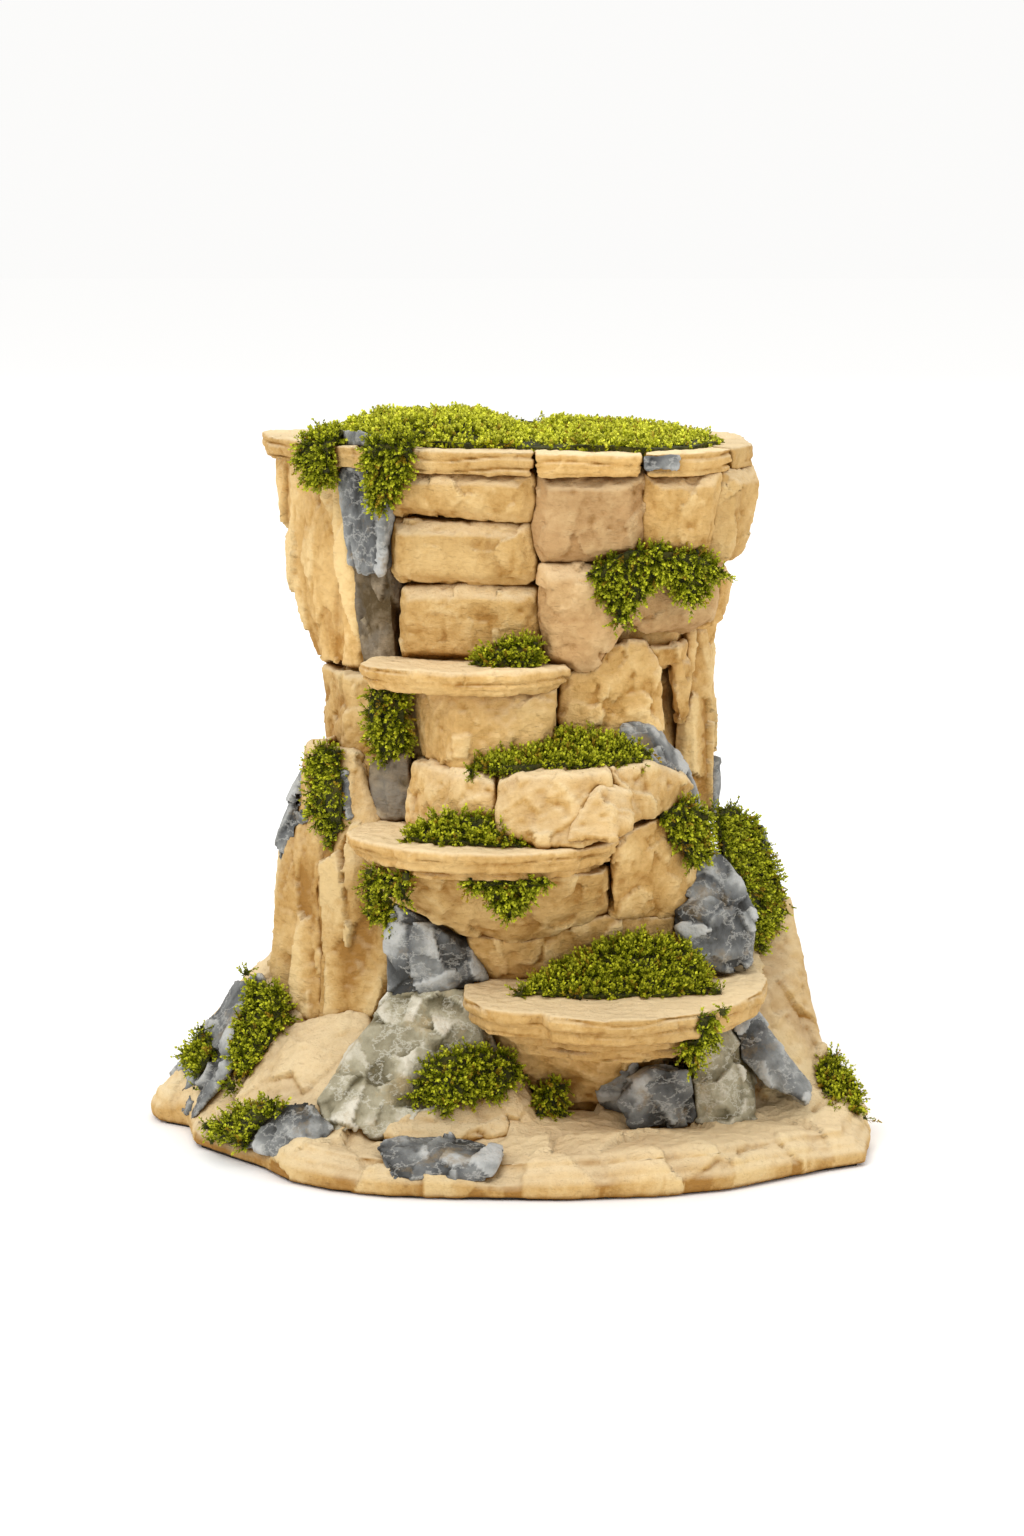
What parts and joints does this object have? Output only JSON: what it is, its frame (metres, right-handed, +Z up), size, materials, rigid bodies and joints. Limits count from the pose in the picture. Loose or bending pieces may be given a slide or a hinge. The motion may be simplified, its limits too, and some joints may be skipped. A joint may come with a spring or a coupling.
{
  "type": "aquarium cave ornament",
  "caption": "Resin cave ornament for an aquarium: a sandstone tower with stepped ledges, slate rocks and moss, and an arched cave mouth at the back.",
  "frame": {"origin": "middle of the footprint, on the surface that the ornament stands on", "axes": "+Z up, +X to the right seen from the ledges, +Y to the back, where the cave mouth is"},
  "size_m": [0.199, 0.165, 0.197],
  "materials": {
    "sandstone_resin": "matt, chiselled, filled polyresin",
    "tan_sandstone_resin": "matt, chiselled, pinkish tan",
    "stained_sandstone_resin": "matt, grey-brown water stain",
    "slate_resin": "matt, blue-grey with pale veins",
    "pale_slate_resin": "matt, pale grey-beige",
    "moss": "fibrous, leafy",
    "foam_mat": "matt closed-cell foam"
  },
  "bodies": {
    "root": {"base_casting": "sandstone_resin", "base_mat": "foam_mat", "cap_slab_front_centre": "sandstone_resin", "cap_slab_front_left": "sandstone_resin", "cap_slab_front_right": "sandstone_resin", "cap_slab_left": "sandstone_resin", "cap_slab_rear": "sandstone_resin", "cap_slab_right_end": "sandstone_resin", "cave_mouth_stones": "sandstone_resin", "column_inner_stone": "sandstone_resin", "column_outer_stone": "sandstone_resin", "crown_casting": "sandstone_resin", "crown_corner_stone": "sandstone_resin", "crown_deck": "sandstone_resin", "crown_left_stone": "sandstone_resin", "crown_lower_side_stones": "sandstone_resin", "crown_seam_stone": "stained_sandstone_resin", "crown_stone_centre_bottom": "tan_sandstone_resin", "crown_stone_centre_top": "tan_sandstone_resin", "crown_stone_left_bottom": "sandstone_resin", "crown_stone_left_middle": "sandstone_resin", "crown_stone_left_top": "sandstone_resin", "crown_stone_right_bottom": "tan_sandstone_resin", "crown_stone_right_top": "sandstone_resin", "crown_upper_side_stones": "sandstone_resin", "leaning_slate": "slate_resin", "ledge_pedestal": "sandstone_resin", "ledge_slate": "slate_resin", "ledge_support_foot": "sandstone_resin", "ledge_support_stone": "sandstone_resin", "lower_ledge": "sandstone_resin", "middle_ledge": "sandstone_resin", "moss_crown_carpet": "moss", "moss_crown_drapes": "moss", "moss_ledges": "moss", "moss_slopes": "moss", "niche_stones": "sandstone_resin", "pale_buttress": "pale_slate_resin", "pale_right_stone": "pale_slate_resin", "pedestal_slates": "slate_resin", "rear_hills": "sandstone_resin", "rear_wall_stones": "sandstone_resin", "right_shoulder_stone": "sandstone_resin", "sand_wedge_stone": "sandstone_resin", "shoulder_slates": "slate_resin", "slate_chips": "slate_resin", "slate_strip": "slate_resin", "slope_slates": "slate_resin", "tier_centre_stone": "sandstone_resin", "tier_left_stone": "sandstone_resin", "tier_right_stone": "sandstone_resin", "tier_wedge_stone": "sandstone_resin", "trunk_casting": "sandstone_resin", "upper_ledge": "sandstone_resin", "waist_casting": "sandstone_resin", "waist_centre_panel": "sandstone_resin", "waist_front_stone": "sandstone_resin", "waist_left_pillar": "sandstone_resin", "waist_right_pillar": "sandstone_resin", "waist_stained_stone": "stained_sandstone_resin"}
  },
  "joints": []
}
